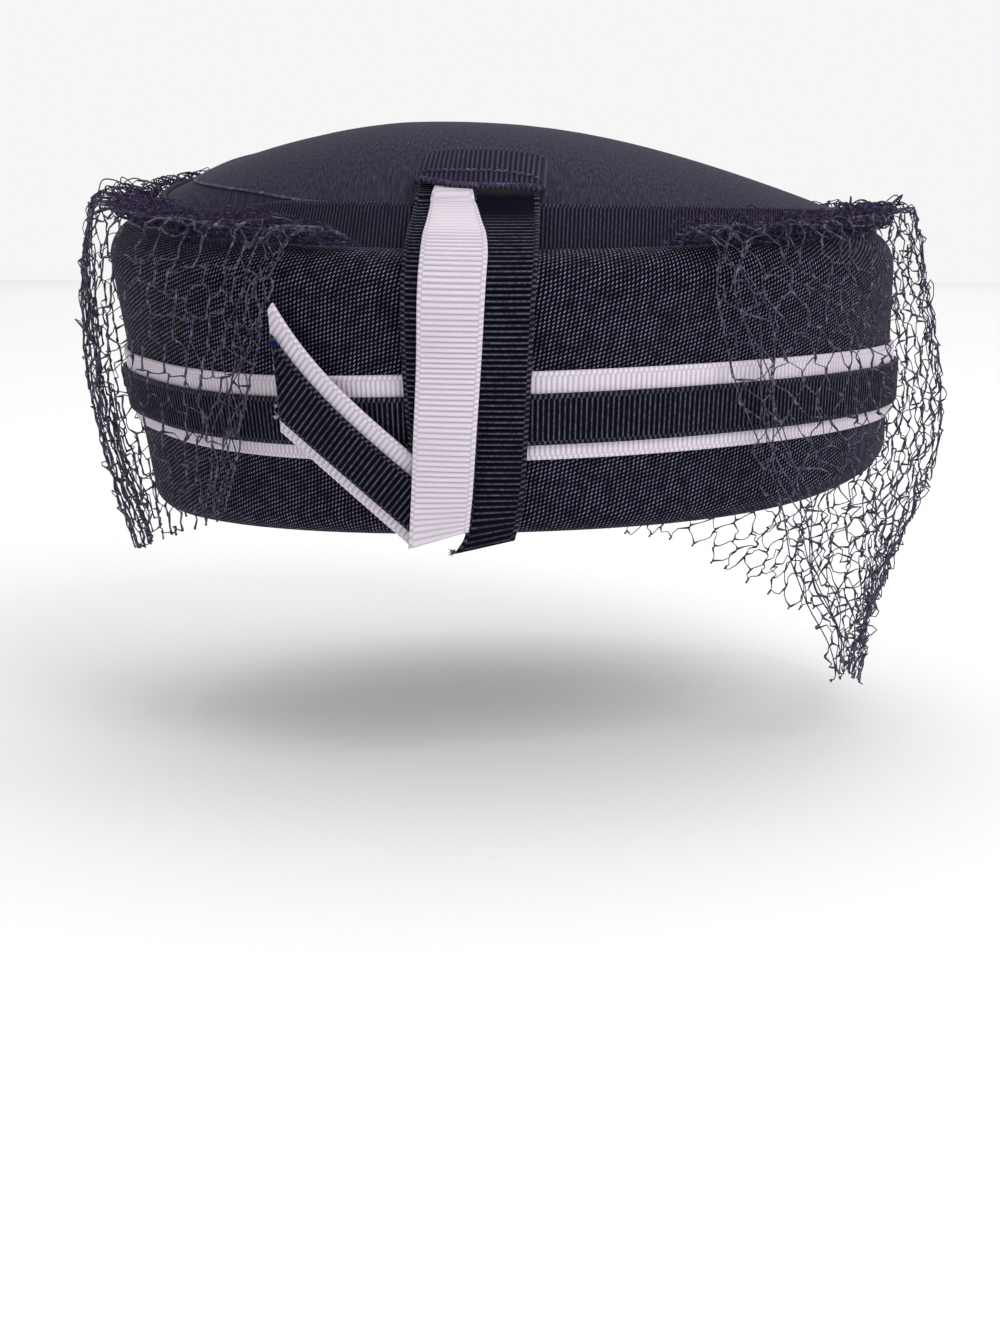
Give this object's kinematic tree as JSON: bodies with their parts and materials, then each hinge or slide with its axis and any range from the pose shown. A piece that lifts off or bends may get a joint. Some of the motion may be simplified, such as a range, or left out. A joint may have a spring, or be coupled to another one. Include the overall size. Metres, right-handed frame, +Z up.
{
  "type": "pillbox hat",
  "caption": "Pillbox hat with a tall cuff, low domed crown, grosgrain stripe and front ribbon ornament, and a net veil that hangs at the sides and back.",
  "frame": {"origin": "centre of the head opening, at the height of the front rim", "axes": "+Z up through the crown, the front of the hat faces -Y, the end of the diagonal ribbon tail points towards -X"},
  "size_m": [0.2323, 0.234, 0.1492],
  "materials": {
    "cuff_cloth": "coarse plain weave, matte",
    "crown_cloth": "fine twill, matte",
    "navy_grosgrain": "cross-ribbed ribbon, slight sheen",
    "white_grosgrain": "cross-ribbed ribbon, slight sheen",
    "veil_net": "knotted net, matte"
  },
  "bodies": {
    "root": {"cuff": "cuff_cloth", "crown": "crown_cloth", "crown_band": "navy_grosgrain", "white_stripe": "white_grosgrain", "navy_stripe": "navy_grosgrain", "left_leg": "navy_grosgrain", "right_leg": "navy_grosgrain", "white_ribbon": "white_grosgrain", "keeper": "navy_grosgrain", "white_tail": "white_grosgrain", "navy_tail": "navy_grosgrain", "veil": "veil_net"}
  },
  "joints": []
}
